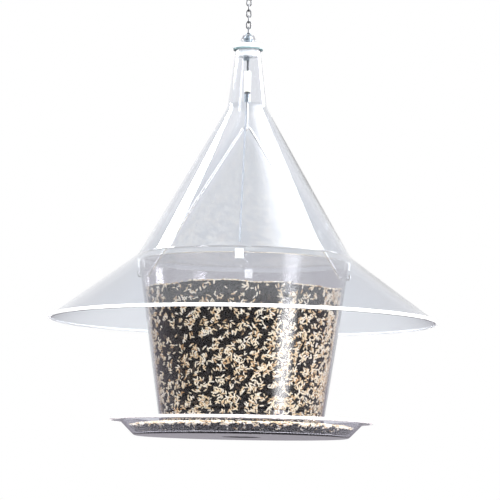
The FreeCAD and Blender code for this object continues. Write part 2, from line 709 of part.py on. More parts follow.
def addSwivelBall(feeder):
    """A ball with an eye for the chain on top, hollow below so that the rod's head turns in it."""
    body = feeder.body("swivel_ball")
    sphere = feeder.sketch(body, "BallOutline", "XZ_Plane")
    height, radius = feeder.value("ball_height"), feeder.value("ball_radius")
    centre = FreeCAD.Vector(0, height, 0)
    arc = sphere.addGeometry(
        Part.ArcOfCircle(
            Part.Circle(centre, FreeCAD.Vector(0, 0, 1), radius), -math.pi / 2, math.pi / 2
        ),
        False,
    )
    line = sphere.addGeometry(
        Part.LineSegment(FreeCAD.Vector(0, height + radius, 0), FreeCAD.Vector(0, height - radius, 0)),
        False,
    )
    feeder.locate(sphere, arc, CENTRE, "0", "ball_height")
    index = sphere.addConstraint(Sketcher.Constraint("Radius", arc, radius))
    feeder.bind(sphere, f"Constraints[{index}]", "ball_radius")
    sphere.addConstraint(Sketcher.Constraint("Coincident", arc, END, line, START))
    sphere.addConstraint(Sketcher.Constraint("Coincident", line, END, arc, START))
    sphere.addConstraint(Sketcher.Constraint("Vertical", line))
    sphere.addConstraint(Sketcher.Constraint("PointOnObject", arc, END, V_AXIS))
    feeder.revolve(body, sphere, "Ball")
    hollow = [
        ("0", "ball_height - ball_radius - 1"),
        ("rod_radius + running_gap", "ball_height - ball_radius - 1"),
        ("rod_radius + running_gap", "head_base"),
        ("rod_head_radius + running_gap", "head_base"),
        ("rod_head_radius + running_gap", "head_base + rod_head_height + running_gap"),
        ("0", "head_base + rod_head_height + running_gap"),
    ]
    sketch = feeder.outline(body, "Socket", "XZ_Plane", hollow)
    before = body.Shape.Volume
    groove = body.newObject("PartDesign::Groove", "SocketCut")
    groove.Profile = sketch
    groove.ReferenceAxis = (sketch, ["V_Axis"])
    groove.Angle = 360
    feeder.doc.recompute()
    if not body.Shape.Volume < before:
        raise RuntimeError("swivel_ball: the socket cuts nothing")
    addEye(feeder, body, "XZ_Plane", ("eye_radius", "0"), "eye_height", "eye_wire")
    return body


def addEye(feeder, body, plane, side, height, wire):
    """An eye of round wire in an upright plane. side is where the wire crosses the middle's level."""
    radius = side[0] if side[1] == "0" else side[1]
    path = feeder.circle(body, "EyePath", plane, "0", height, radius)
    section = feeder.circle(body, "EyeWire", "XY_Plane", side[0], side[1], wire)
    feeder.raise_sketch(section, height)
    pipe = body.newObject("PartDesign::AdditivePipe", "Eye")
    pipe.Profile = section
    pipe.Spine = path
    feeder.doc.recompute()


def addBail(feeder):
    """The wire bail: two straight legs from a bend in the rod's eye to hooks in the hopper's wall."""
    value = feeder.value
    top, height = value("bail_top"), value("hook_height")
    wall = value("foot_radius + (hook_height - foot_height) * wall_slope")
    turn_in = wall - value("hopper_wall") - 2.2 * value("hook_bend")
    tail = wall + 1.6 * value("hook_bend")
    right = [
        FreeCAD.Vector(turn_in, 0, height),
        FreeCAD.Vector(tail, 0, height),
        FreeCAD.Vector(tail, 0, height + value("hook_tail")),
    ]
    left = [FreeCAD.Vector(-point.x, 0, point.z) for point in reversed(right)]
    lean = math.atan2(turn_in, top - height)
    apex = FreeCAD.Vector(0, 0, top + value("bail_bend") * (1 / math.sin(lean) - 1))
    bend = value("hook_bend")
    bends = [bend, bend, value("bail_bend"), bend, bend]
    points = left + [apex] + right
    return feeder.feature("wire_bail", bentWire(points, bends, value("bail_wire")))


def addLink(feeder, index):
    """One oval chain link. Link 1 is the top one; every other link is turned a quarter."""
    body = feeder.body(f"chain_link_{index + 1}")
    bend = "link_width / 2 - link_wire"
    middle = f"link_pitch / 2 + link_wire - ({bend})"
    path = feeder.sketch(body, "LinkPath", "XZ_Plane")
    reach, radius = feeder.value(middle), feeder.value(bend)
    up = FreeCAD.Vector(0, 0, 1)
    upper = Part.Circle(FreeCAD.Vector(0, reach, 0), up, radius)
    lower = Part.Circle(FreeCAD.Vector(0, -reach, 0), up, radius)
    top = path.addGeometry(Part.ArcOfCircle(upper, 0, math.pi), False)
    low = path.addGeometry(Part.ArcOfCircle(lower, math.pi, 2 * math.pi), False)
    left = path.addGeometry(
        Part.LineSegment(FreeCAD.Vector(-radius, reach, 0), FreeCAD.Vector(-radius, -reach, 0)), False
    )
    right = path.addGeometry(
        Part.LineSegment(FreeCAD.Vector(radius, -reach, 0), FreeCAD.Vector(radius, reach, 0)), False
    )
    feeder.locate(path, top, CENTRE, "0", middle)
    feeder.locate(path, low, CENTRE, "0", f"-({middle})")
    for first, first_end, second, second_end in (
        (top, END, left, START), (left, END, low, START), (low, END, right, START), (right, END, top, START),
    ):
        path.addConstraint(Sketcher.Constraint("Tangent", first, first_end, second, second_end))
    path.addConstraint(Sketcher.Constraint("Vertical", left))
    number = path.addConstraint(Sketcher.Constraint("Radius", top, radius))
    feeder.bind(path, f"Constraints[{number}]", bend)
    section = feeder.circle(body, "LinkWire", "XY_Plane", bend, "0", "link_wire")
    pipe = body.newObject("PartDesign::AdditivePipe", "Link")
    pipe.Profile = section
    pipe.Spine = path
    feeder.doc.recompute()
    quarter = 90 if index % 2 == 0 else 0
    feeder.place(body, feeder.value("top_link") - feeder.value("link_step") * index, quarter)
    return body


def addSHook(feeder):
    """The S-hook that the chain hangs from: two bowls and the straight that joins them."""
    value = feeder.value
    small, large, span = value("s_hook_small"), value("s_hook_large"), value("s_hook_span")
    wire = value("s_hook_wire")
    lower = FreeCAD.Vector(0, 0, value("hook_seat") + small)
    upper = FreeCAD.Vector(0, 0, value("upper_bowl"))
    lean = math.asin((small + large) / span)

    def around(centre, radius, angle):
        return centre + FreeCAD.Vector(math.cos(angle), 0, math.sin(angle)) * radius

    tip_low, tip_high = math.radians(25), math.radians(205)
    join_low, join_high = math.pi - lean, -lean
    bowl_low = Part.Arc(
        around(lower, small, tip_low), around(lower, small, -math.pi / 2), around(lower, small, join_low)
    )
    bowl_high = Part.Arc(
        around(upper, large, join_high), around(upper, large, math.pi / 2), around(upper, large, tip_high)
    )
    joiner = Part.LineSegment(around(lower, small, join_low), around(upper, large, join_high))
    path = Part.Wire([bowl_low.toShape(), joiner.toShape(), bowl_high.toShape()])
    start = around(lower, small, tip_low)
    direction = FreeCAD.Vector(math.sin(tip_low), 0, -math.cos(tip_low))
    return feeder.feature("s_hook", sweepCircle(path, start, direction, wire))


# --- Building, checking and writing -------------------------------------------------------------


def build(feeder):
    addSHook(feeder)
    for index in range(int(feeder.value("link_count"))):
        addLink(feeder, index)
    addSwivelBall(feeder)
    addUpperRod(feeder)
    addFerrule(feeder)
    bore = "rod_radius + running_gap"
    addRing(feeder, "coupling_sleeve", bore, "sleeve_radius", "sleeve_base", "sleeve_length")
    washer_base = "sleeve_base - washer_thickness"
    addRing(feeder, "rubber_washer", bore, "washer_radius", washer_base, "washer_thickness")
    addLockNut(feeder)
    addLowerRod(feeder)
    addBail(feeder)
    addCap(feeder)
    addGasket(feeder)
    addHood(feeder)
    for index in range(CLIPS):
        addRimClip(feeder, index)
    addHopper(feeder)
    addSeedFill(feeder)
    addSpreader(feeder)
    addTrayBolt(feeder)
    addTray(feeder)
    addTraySeed(feeder)
    addTrayWasher(feeder)
    addThumbNut(feeder)


def check(feeder):
    feeder.doc.recompute()
    for item in feeder.doc.Objects:
        if "Invalid" in item.State or "Error" in item.State:
            raise RuntimeError(f"{item.Label} failed: {item.State}")
    for piece in feeder.pieces:
        if piece.Shape.isNull() or not piece.Shape.isValid() or not piece.Shape.Solids:
            raise RuntimeError(f"{piece.Label} has no valid solid")


def write(feeder):
    os.makedirs("parts", exist_ok=True)
    for piece in feeder.pieces:
        piece.Shape.exportStep(os.path.join("parts", piece.Label + ".step"))
        box = piece.Shape.BoundBox
        print(
            f"{piece.Label:16} {len(piece.Shape.Solids)} solid  {piece.Shape.Volume:12.1f} mm3"
            f"  z {box.ZMin:7.2f} to {box.ZMax:7.2f}  x {box.XMin:7.2f} to {box.XMax:7.2f}"
        )


def printAxes(feeder):
    """The heights of the joints, from the origin."""
    for alias in ("hook_seat", "top_link_foot", "ball_height", "thumb_top"):
        print(f"{alias} {feeder.value(alias) - feeder.value('hang_height'):.3f}")


feeder = Feeder()
build(feeder)
check(feeder)
write(feeder)
printAxes(feeder)
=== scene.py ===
# Looks for a clear hanging seed feeder: hood, hopper, tray, seed and hanger.
import bpy
import bmesh
import math
from mathutils import Vector, Matrix


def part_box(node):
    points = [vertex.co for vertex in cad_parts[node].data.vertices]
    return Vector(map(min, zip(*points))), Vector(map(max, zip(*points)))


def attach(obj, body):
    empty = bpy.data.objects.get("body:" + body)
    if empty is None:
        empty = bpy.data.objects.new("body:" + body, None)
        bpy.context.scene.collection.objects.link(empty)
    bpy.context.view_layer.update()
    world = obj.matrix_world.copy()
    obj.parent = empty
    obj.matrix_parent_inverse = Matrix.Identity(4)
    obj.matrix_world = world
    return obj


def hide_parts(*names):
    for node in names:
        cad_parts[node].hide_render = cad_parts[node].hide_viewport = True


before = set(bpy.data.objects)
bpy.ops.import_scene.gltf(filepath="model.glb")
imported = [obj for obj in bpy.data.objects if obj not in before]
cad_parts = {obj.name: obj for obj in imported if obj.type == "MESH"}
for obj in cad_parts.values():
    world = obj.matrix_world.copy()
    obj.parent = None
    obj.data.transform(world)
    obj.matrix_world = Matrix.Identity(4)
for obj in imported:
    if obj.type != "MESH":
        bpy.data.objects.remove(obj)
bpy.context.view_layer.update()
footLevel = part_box("tray")[0].z
mm = 0.001
print("frame loaded")


def level(height):
    # height in millimetres above the tray's underside
    return footLevel + height * mm


def meshObject(name, mesh, body, slot, *nodes):
    obj = bpy.data.objects.new(name, mesh)
    bpy.context.scene.collection.objects.link(obj)
    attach(obj, body)
    if nodes:
        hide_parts(*nodes)
    return obj


def roundedOutline(points):
    # points are (radius, height, corner radius) in mm, and the loop closes by itself
    result = []
    count = len(points)
    for i, (r, z, bend) in enumerate(points):
        here = Vector((r, z))
        if not bend:
            result.append(here)
            continue
        back = (Vector(points[i - 1][:2]) - here).normalized()
        ahead = (Vector(points[(i + 1) % count][:2]) - here).normalized()
        half = back.angle(ahead) / 2
        reach = bend / math.tan(half)
        middle = here + (back + ahead).normalized() * (bend / math.sin(half))
        start, stop = here + back * reach, here + ahead * reach
        a = math.atan2(start.y - middle.y, start.x - middle.x)
        b = math.atan2(stop.y - middle.y, stop.x - middle.x)
        turn = (b - a + math.pi) % (2 * math.pi) - math.pi
        steps = max(3, int(abs(turn) / math.radians(11)) + 1)
        for k in range(steps + 1):
            t = a + turn * k / steps
            result.append(middle + Vector((math.cos(t), math.sin(t))) * bend)
    # long runs get a point close to each end, so that smooth shading stays flat along them
    fine = []
    for i, here in enumerate(result):
        fine.append(here)
        run = result[(i + 1) % len(result)] - here
        if run.length > 3:
            fine.append(here + run.normalized() * 0.5)
            fine.append(here + run - run.normalized() * 0.5)
    return fine


def outlineObject(name, points):
    # a wire loop that the turning tree reads: x is the radius, z the height, in metres
    mesh = bpy.data.meshes.new(name)
    loop = roundedOutline(points)
    loop.append(loop[0])
    verts = [(p.x * mm, 0, level(p.y)) for p in loop]
    mesh.from_pydata(verts, [(i, i + 1) for i in range(len(verts) - 1)], [])
    obj = bpy.data.objects.new(name, mesh)
    bpy.context.scene.collection.objects.link(obj)
    return obj


class TreeMaker:
    # a little help for writing node trees
    def __init__(self, name):
        self.tree = bpy.data.node_groups.new(name, "GeometryNodeTree")
        self.tree.interface.new_socket("Geometry", in_out="INPUT", socket_type="NodeSocketGeometry")
        self.tree.interface.new_socket("Geometry", in_out="OUTPUT", socket_type="NodeSocketGeometry")
        self.inputNode = None

    def addInput(self, name, kind, value):
        item = self.tree.interface.new_socket(name, in_out="INPUT", socket_type="NodeSocket" + kind)
        if value is not None:
            item.default_value = value

    def node(self, kind, **settings):
        made = self.tree.nodes.new(kind)
        for key, value in settings.items():
            setattr(made, key, value)
        return made

    def source(self, name):
        if self.inputNode is None:
            self.inputNode = self.node("NodeGroupInput")
        return self.inputNode.outputs[name]

    def link(self, fromSocket, toSocket):
        self.tree.links.new(fromSocket, toSocket)

    def math(self, operation, a, b=None):
        made = self.node("ShaderNodeMath", operation=operation)
        for socket, value in zip(made.inputs, (a, b)):
            if value is None:
                continue
            if isinstance(value, (int, float)):
                socket.default_value = value
            else:
                self.link(value, socket)
        return made.outputs[0]

    def close(self, geometry):
        realize = self.node("GeometryNodeRealizeInstances")
        self.link(geometry, realize.inputs["Geometry"])
        shade = self.node("GeometryNodeSetShadeSmooth")
        shade.inputs["Shade Smooth"].default_value = True
        self.link(realize.outputs[0], shade.inputs["Geometry"])
        paint = self.node("GeometryNodeSetMaterial")
        self.link(shade.outputs[0], paint.inputs["Geometry"])
        self.link(self.source("Material"), paint.inputs["Material"])
        out = self.node("NodeGroupOutput")
        self.link(paint.outputs[0], out.inputs["Geometry"])
        return self.tree


def bake(obj, tree, values, name):
    # runs a tree on an object and gives back a plain mesh
    modifier = obj.modifiers.new("Nodes", "NODES")
    modifier.node_group = tree
    for item in tree.interface.items_tree:
        if item.in_out == "INPUT" and item.name in values:
            modifier[item.identifier] = values[item.name]
    obj.update_tag()
    bpy.context.view_layer.update()
    depsgraph = bpy.context.evaluated_depsgraph_get()
    mesh = bpy.data.meshes.new_from_object(obj.evaluated_get(depsgraph), depsgraph=depsgraph)
    obj.modifiers.clear()
    bpy.data.objects.remove(obj)
    mesh.name = name
    return mesh


def makeTurningTree():
    # turns an outline about the z axis
    maker = TreeMaker("turnedShell")
    maker.addInput("Segments", "Int", 128)
    maker.addInput("Material", "Material", None)
    size = maker.node("GeometryNodeAttributeDomainSize", component="MESH")
    maker.link(maker.source("Geometry"), size.inputs[0])
    grid = maker.node("GeometryNodeMeshGrid")
    grid.inputs["Size X"].default_value = 1
    grid.inputs["Size Y"].default_value = 1
    maker.link(maker.math("ADD", maker.source("Segments"), 1), grid.inputs["Vertices X"])
    maker.link(size.outputs["Point Count"], grid.inputs["Vertices Y"])
    place = maker.node("GeometryNodeInputPosition")
    split = maker.node("ShaderNodeSeparateXYZ")
    maker.link(place.outputs[0], split.inputs[0])
    angle = maker.math("MULTIPLY", maker.math("ADD", split.outputs[0], 0.5), 2 * math.pi)
    last = maker.math("SUBTRACT", size.outputs["Point Count"], 1)
    number = maker.math("MULTIPLY", maker.math("ADD", split.outputs[1], 0.5), last)
    sample = maker.node("GeometryNodeSampleIndex", data_type="FLOAT_VECTOR", domain="POINT")
    maker.link(maker.source("Geometry"), sample.inputs["Geometry"])
    outlinePlace = maker.node("GeometryNodeInputPosition")
    maker.link(outlinePlace.outputs[0], sample.inputs["Value"])
    maker.link(maker.math("ROUND", number), sample.inputs["Index"])
    outline = maker.node("ShaderNodeSeparateXYZ")
    maker.link(sample.outputs[0], outline.inputs[0])
    join = maker.node("ShaderNodeCombineXYZ")
    maker.link(maker.math("MULTIPLY", outline.outputs[0], maker.math("COSINE", angle)), join.inputs[0])
    maker.link(maker.math("MULTIPLY", outline.outputs[0], maker.math("SINE", angle)), join.inputs[1])
    maker.link(outline.outputs[2], join.inputs[2])
    move = maker.node("GeometryNodeSetPosition")
    maker.link(grid.outputs["Mesh"], move.inputs["Geometry"])
    maker.link(join.outputs[0], move.inputs["Position"])
    merge = maker.node("GeometryNodeMergeByDistance")
    merge.inputs["Distance"].default_value = 1e-6
    maker.link(move.outputs[0], merge.inputs["Geometry"])
    return maker.close(merge.outputs[0])


def makeSeedTree():
    # lays seeds on a surface, flat against it and turned every way
    maker = TreeMaker("seedScatter")
    maker.addInput("Spacing", "Float", 0.003)
    maker.addInput("Density", "Float", 100000.0)
    maker.addInput("Clump Size", "Float", 60.0)
    maker.addInput("Clump Level", "Float", 0.0)
    maker.addInput("Clump Lean", "Vector", (0.0, 0.0, 0.0))
    maker.addInput("Seed", "Int", 1)
    maker.addInput("Length", "Float", 0.007)
    maker.addInput("Width", "Float", 0.003)
    maker.addInput("Thickness", "Float", 0.002)
    maker.addInput("Tilt", "Float", 0.2)
    maker.addInput("Material", "Material", None)
    noise = maker.node("ShaderNodeTexNoise", noise_dimensions="3D")
    noise.inputs["Detail"].default_value = 2
    place = maker.node("GeometryNodeInputPosition")
    maker.link(place.outputs[0], noise.inputs["Vector"])
    maker.link(maker.source("Clump Size"), noise.inputs["Scale"])
    lean = maker.node("ShaderNodeVectorMath", operation="DOT_PRODUCT")
    maker.link(place.outputs[0], lean.inputs[0])
    maker.link(maker.source("Clump Lean"), lean.inputs[1])
    clump = maker.math("ADD", noise.outputs[0], lean.outputs["Value"])
    gate = maker.node("ShaderNodeMapRange")
    maker.link(clump, gate.inputs["Value"])
    maker.link(maker.source("Clump Level"), gate.inputs["From Min"])
    maker.link(maker.math("ADD", maker.source("Clump Level"), 0.05), gate.inputs["From Max"])
    spread = maker.node("GeometryNodeDistributePointsOnFaces", distribute_method="POISSON")
    maker.link(maker.source("Geometry"), spread.inputs["Mesh"])
    maker.link(maker.source("Spacing"), spread.inputs["Distance Min"])
    maker.link(maker.source("Density"), spread.inputs["Density Max"])
    maker.link(gate.outputs[0], spread.inputs["Density Factor"])
    maker.link(maker.source("Seed"), spread.inputs["Seed"])
    ball = maker.node("GeometryNodeMeshUVSphere")
    ball.inputs["Segments"].default_value = 5
    ball.inputs["Rings"].default_value = 3
    ball.inputs["Radius"].default_value = 0.5
    stretch = maker.node("ShaderNodeCombineXYZ")
    maker.link(maker.source("Width"), stretch.inputs[0])
    maker.link(maker.source("Thickness"), stretch.inputs[1])
    maker.link(maker.source("Length"), stretch.inputs[2])
    shape = maker.node("GeometryNodeTransform")
    maker.link(ball.outputs["Mesh"], shape.inputs["Geometry"])
    maker.link(stretch.outputs[0], shape.inputs["Scale"])
    lay = maker.node("GeometryNodeTransform")
    maker.link(shape.outputs[0], lay.inputs["Geometry"])
    lay.inputs["Rotation"].default_value = (math.pi / 2, 0, 0)
    tilt = maker.node("FunctionNodeRandomValue", data_type="FLOAT_VECTOR")
    low = maker.node("ShaderNodeCombineXYZ")
    high = maker.node("ShaderNodeCombineXYZ")
    for k in (0, 1):
        maker.link(maker.math("MULTIPLY", maker.source("Tilt"), -1), low.inputs[k])
        maker.link(maker.source("Tilt"), high.inputs[k])
    low.inputs[2].default_value = -math.pi
    high.inputs[2].default_value = math.pi
    maker.link(low.outputs[0], tilt.inputs[0])
    maker.link(high.outputs[0], tilt.inputs[1])
    maker.link(maker.source("Seed"), tilt.inputs["Seed"])
    turn = maker.node("FunctionNodeRotateRotation", rotation_space="LOCAL")
    maker.link(spread.outputs["Rotation"], turn.inputs[0])
    maker.link(tilt.outputs[0], turn.inputs[1])
    size = maker.node("FunctionNodeRandomValue", data_type="FLOAT")
    size.inputs[2].default_value = 0.78
    size.inputs[3].default_value = 1.18
    put = maker.node("GeometryNodeInstanceOnPoints")
    maker.link(spread.outputs["Points"], put.inputs["Points"])
    maker.link(lay.outputs[0], put.inputs["Instance"])
    maker.link(turn.outputs[0], put.inputs["Rotation"])
    maker.link(size.outputs[1], put.inputs["Scale"])
    tone = maker.node("FunctionNodeRandomValue", data_type="FLOAT")
    tone.inputs["Seed"].default_value = 7
    mark = maker.node("GeometryNodeStoreNamedAttribute", data_type="FLOAT", domain="INSTANCE")
    mark.inputs["Name"].default_value = "tone"
    maker.link(put.outputs[0], mark.inputs["Geometry"])
    maker.link(tone.outputs[1], mark.inputs["Value"])
    return maker.close(mark.outputs[0])


turningTree = makeTurningTree()
seedTree = makeSeedTree()
print("node trees written")


class MaterialMaker:
    def __init__(self, name):
        self.material = bpy.data.materials.new(name)
        self.material.use_nodes = True
        self.nodes = self.material.node_tree.nodes
        self.links = self.material.node_tree.links
        self.shader = self.nodes["Principled BSDF"]
        self.output = self.nodes["Material Output"]
        self.place = self.nodes.new("ShaderNodeTexCoord").outputs["Object"]

    def set(self, **values):
        for key, value in values.items():
            self.shader.inputs[key.replace("_", " ")].default_value = value

    def noise(self, scale, detail=3.0, stretch=None):
        node = self.nodes.new("ShaderNodeTexNoise")
        node.inputs["Scale"].default_value = scale
        node.inputs["Detail"].default_value = detail
        self.links.new(self.stretched(stretch), node.inputs["Vector"])
        return node.outputs[0]

    def stretched(self, stretch):
        if stretch is None:
            return self.place
        mapping = self.nodes.new("ShaderNodeMapping")
        mapping.inputs["Scale"].default_value = stretch
        self.links.new(self.place, mapping.inputs["Vector"])
        return mapping.outputs[0]

    def ramp(self, value, *stops):
        node = self.nodes.new("ShaderNodeValToRGB")
        for k, (at, colour) in enumerate(stops):
            stop = node.color_ramp.elements[k] if k < 2 else node.color_ramp.elements.new(at)
            stop.position = at
            stop.color = (*colour, 1)
        self.links.new(value, node.inputs[0])
        return node.outputs[0]

    def spread(self, value, low, high):
        # noise mostly lies between 0.3 and 0.7
        node = self.nodes.new("ShaderNodeMapRange")
        node.inputs["From Min"].default_value = 0.3
        node.inputs["From Max"].default_value = 0.7
        node.inputs["To Min"].default_value = low
        node.inputs["To Max"].default_value = high
        self.links.new(value, node.inputs["Value"])
        return node.outputs[0]

    def bump(self, value, strength, distance):
        node = self.nodes.new("ShaderNodeBump")
        node.inputs["Strength"].default_value = strength
        node.inputs["Distance"].default_value = distance
        self.links.new(value, node.inputs["Height"])
        self.links.new(node.outputs[0], self.shader.inputs["Normal"])

    def feed(self, socket, value):
        self.links.new(value, self.shader.inputs[socket])


def clearPlastic(name, colour, haze, waviness, density, soaked=(0.5, 0.55, 0.62), bend=1.5, coat=0.0):
    maker = MaterialMaker(name)
    maker.set(Base_Color=(*colour, 1), Transmission_Weight=1.0, IOR=bend)
    maker.set(Coat_Weight=coat, Coat_Roughness=0.14)
    maker.feed("Roughness", maker.spread(maker.noise(35, 4), haze * 0.6, haze * 1.6))
    maker.bump(maker.noise(22, 2, (1, 1, 0.35)), waviness, 0.002)
    soak = maker.nodes.new("ShaderNodeVolumeAbsorption")
    soak.inputs["Color"].default_value = (*soaked, 1)
    soak.inputs["Density"].default_value = density
    maker.links.new(soak.outputs[0], maker.output.inputs["Volume"])
    lamp = maker.nodes.new("ShaderNodeLightPath")
    pane = maker.nodes.new("ShaderNodeBsdfTransparent")
    pane.inputs["Color"].default_value = (0.93, 0.94, 0.95, 1)
    mix = maker.nodes.new("ShaderNodeMixShader")
    maker.links.new(lamp.outputs["Is Shadow Ray"], mix.inputs[0])
    maker.links.new(maker.shader.outputs[0], mix.inputs[1])
    maker.links.new(pane.outputs[0], mix.inputs[2])
    maker.links.new(mix.outputs[0], maker.output.inputs["Surface"])
    return maker.material


def plainMetal(name, dark, bright, roughness, grain):
    maker = MaterialMaker(name)
    maker.set(Metallic=1.0)
    cloud = maker.noise(grain, 5)
    maker.feed("Base Color", maker.ramp(cloud, (0.3, dark), (0.7, bright)))
    maker.feed("Roughness", maker.spread(maker.noise(grain * 2.3, 4), roughness * 0.7, roughness * 1.4))
    maker.bump(maker.noise(grain * 4, 3), 0.08, 0.0003)
    return maker.material


def plainPlastic(name, dark, bright, roughness, grain, **extra):
    maker = MaterialMaker(name)
    maker.set(**extra)
    maker.feed("Base Color", maker.ramp(maker.noise(grain, 4), (0.35, dark), (0.7, bright)))
    maker.feed("Roughness", maker.spread(maker.noise(grain * 3, 3), roughness * 0.8, roughness * 1.25))
    maker.bump(maker.noise(grain * 5, 4), 0.12, 0.0004)
    return maker.material


def seedMaterial(name, stops, roughness, streaks, gloss):
    maker = MaterialMaker(name)
    tone = maker.nodes.new("ShaderNodeAttribute")
    tone.attribute_name = "tone"
    maker.set(Specular_IOR_Level=gloss)
    shade = maker.nodes.new("ShaderNodeMix")
    shade.data_type = "RGBA"
    shade.blend_type = "MULTIPLY"
    shade.inputs["Factor"].default_value = streaks
    maker.links.new(maker.ramp(tone.outputs["Fac"], *stops), shade.inputs["A"])
    maker.links.new(
        maker.ramp(maker.noise(900, 3), (0.35, (0.45, 0.4, 0.35)), (0.62, (1.05, 1.05, 1.05))),
        shade.inputs["B"],
    )
    maker.feed("Base Color", shade.outputs["Result"])
    maker.feed("Roughness", maker.spread(maker.noise(500, 2), roughness * 0.8, roughness * 1.2))
    maker.bump(maker.noise(1400, 3), 0.3, 0.0003)
    return maker.material


clearHood = clearPlastic("clearHood", (0.965, 0.97, 0.985), 0.02, 0.02, 52)
clearHopper = clearPlastic("clearHopper", (0.97, 0.965, 0.97), 0.03, 0.03, 200, (0.58, 0.54, 0.56), coat=0.3)
clearTray = clearPlastic("clearTray", (0.96, 0.96, 0.975), 0.03, 0.05, 170, (0.52, 0.5, 0.58))
clearFittings = clearPlastic("clearFittings", (0.96, 0.97, 0.975), 0.04, 0.03, 10, bend=1.2)
brightWire = plainMetal("brightWire", (0.72, 0.73, 0.75), (0.9, 0.9, 0.91), 0.18, 300)
chainSteel = plainMetal("chainSteel", (0.06, 0.06, 0.07), (0.3, 0.31, 0.33), 0.24, 700)
blueZinc = plainMetal("blueZinc", (0.28, 0.34, 0.4), (0.5, 0.56, 0.62), 0.3, 500)
darkSteel = plainMetal("darkSteel", (0.06, 0.065, 0.075), (0.18, 0.19, 0.21), 0.35, 500)
nylon = plainPlastic("nylon", (0.66, 0.63, 0.48), (0.8, 0.79, 0.7), 0.45, 160, Subsurface_Weight=0.1)
blackRubber = plainPlastic("blackRubber", (0.012, 0.012, 0.013), (0.035, 0.035, 0.037), 0.6, 300)
gasketRubber = plainPlastic("gasketRubber", (0.07, 0.12, 0.13), (0.14, 0.21, 0.22), 0.5, 300)
bluePlastic = plainPlastic("bluePlastic", (0.018, 0.03, 0.06), (0.04, 0.06, 0.11), 0.4, 250)
frostedClip = plainPlastic(
    "frostedClip", (0.86, 0.87, 0.88), (0.95, 0.955, 0.96), 0.3, 220, Transmission_Weight=0.45, IOR=1.5
)
milkyCap = plainPlastic(
    "milkyCap", (0.8, 0.82, 0.84), (0.92, 0.93, 0.94), 0.2, 220, Transmission_Weight=0.55, IOR=1.4
)
# painted highlight: the tray's lip ring is a pale pinkish white and partly opaque, standing for the bright
# line light makes along the clear lip
trayLipHighlight = plainPlastic(
    "trayLipHighlight", (0.8, 0.74, 0.75), (0.93, 0.89, 0.9), 0.25, 60, Transmission_Weight=0.4, IOR=1.45
)
# painted highlight: the brim's bead is near-white and partly opaque, standing for the bright line light makes
# along the clear rim
brimEdgeHighlight = plainPlastic(
    "brimEdgeHighlight", (0.95, 0.955, 0.96), (1.0, 1.0, 1.0), 0.22, 40, Transmission_Weight=0.25
)
creamSeed = seedMaterial(
    "creamSeed",
    (
        (0.0, (0.5, 0.3, 0.13)), (0.2, (0.84, 0.65, 0.39)),
        (0.5, (0.97, 0.87, 0.64)), (1.0, (1.0, 0.98, 0.87)),
    ),
    0.5, 0.25, 0.35,
)
darkSeed = seedMaterial(
    "darkSeed",
    (
        (0.0, (0.002, 0.002, 0.002)), (0.75, (0.006, 0.006, 0.006)),
        (0.92, (0.025, 0.022, 0.02)), (1.0, (0.09, 0.07, 0.05)),
    ),
    0.42, 0.5, 0.1,
)
# painted shade: the seed hearts get a near-black brown that stands for the shade in the gaps deep among the
# laid seeds
paintedSeedShade = plainPlastic(
    "paintedSeedShade", (0.006, 0.005, 0.004), (0.03, 0.022, 0.014), 0.9, 350, Specular_IOR_Level=0.1
)
seamShade = plainPlastic("seamShade", (0.2, 0.22, 0.25), (0.32, 0.34, 0.37), 0.4, 200)
print("materials written")


def bored(mesh, radius, height):
    # a round hole straight through along X, with crisp edges
    form = bmesh.new()
    bmesh.ops.create_cone(
        form, cap_ends=True, segments=24, radius1=radius * mm, radius2=radius * mm, depth=0.3,
        matrix=Matrix.Translation((0, 0, level(height))) @ Matrix.Rotation(math.pi / 2, 4, "Y"),
    )
    drill = bpy.data.meshes.new("drill")
    form.to_mesh(drill)
    form.free()
    cutter = bpy.data.objects.new("drill", drill)
    shell = bpy.data.objects.new("shell", mesh)
    for obj in (cutter, shell):
        bpy.context.scene.collection.objects.link(obj)
    cut = shell.modifiers.new("holes", "BOOLEAN")
    cut.operation = "DIFFERENCE"
    cut.object = cutter
    bpy.context.view_layer.update()
    depsgraph = bpy.context.evaluated_depsgraph_get()
    result = bpy.data.meshes.new_from_object(shell.evaluated_get(depsgraph), depsgraph=depsgraph)
    bpy.data.objects.remove(shell)
    bpy.data.objects.remove(cutter)
    form = bmesh.new()
    form.from_mesh(result)
    crisp = math.radians(40)
    for edge in form.edges:
        if edge.calc_face_angle(0) > crisp:
            edge.smooth = False
    form.to_mesh(result)
    form.free()
    return result


def turned(name, outline, segments, material, body, slot, *nodes, hole=None):
    mesh = bake(
        outlineObject(name + "Outline", outline), turningTree,
        {"Segments": segments, "Material": material}, name,
    )
    form = bmesh.new()
    form.from_mesh(mesh)
    bmesh.ops.remove_doubles(form, verts=form.verts, dist=1e-6)
    bmesh.ops.recalc_face_normals(form, faces=form.faces)
    form.to_mesh(mesh)
    form.free()
    if hole:
        mesh = bored(mesh, *hole)
        mesh.name = name
    return meshObject(name, mesh, body, slot, *nodes)


hood = dict(
    neckTop=(12.6, 394.2), neckBase=(20.0, 334.8), junction=(107.5, 181.9), brim=(195.0, 117.3),
    wall=2.4, bead=1.7, neckBend=14.0, junctionBend=3.0, segments=256,
)


def beside(a, b, c, distance):
    # the corner of a line that runs beside a-b-c
    u = (Vector(b) - Vector(a)).normalized()
    v = (Vector(c) - Vector(b)).normalized()
    n = Vector((u.y, -u.x))
    m = Vector((v.y, -v.x))
    return Vector(b) + (n + m) * (distance / (1 + n.dot(m)))


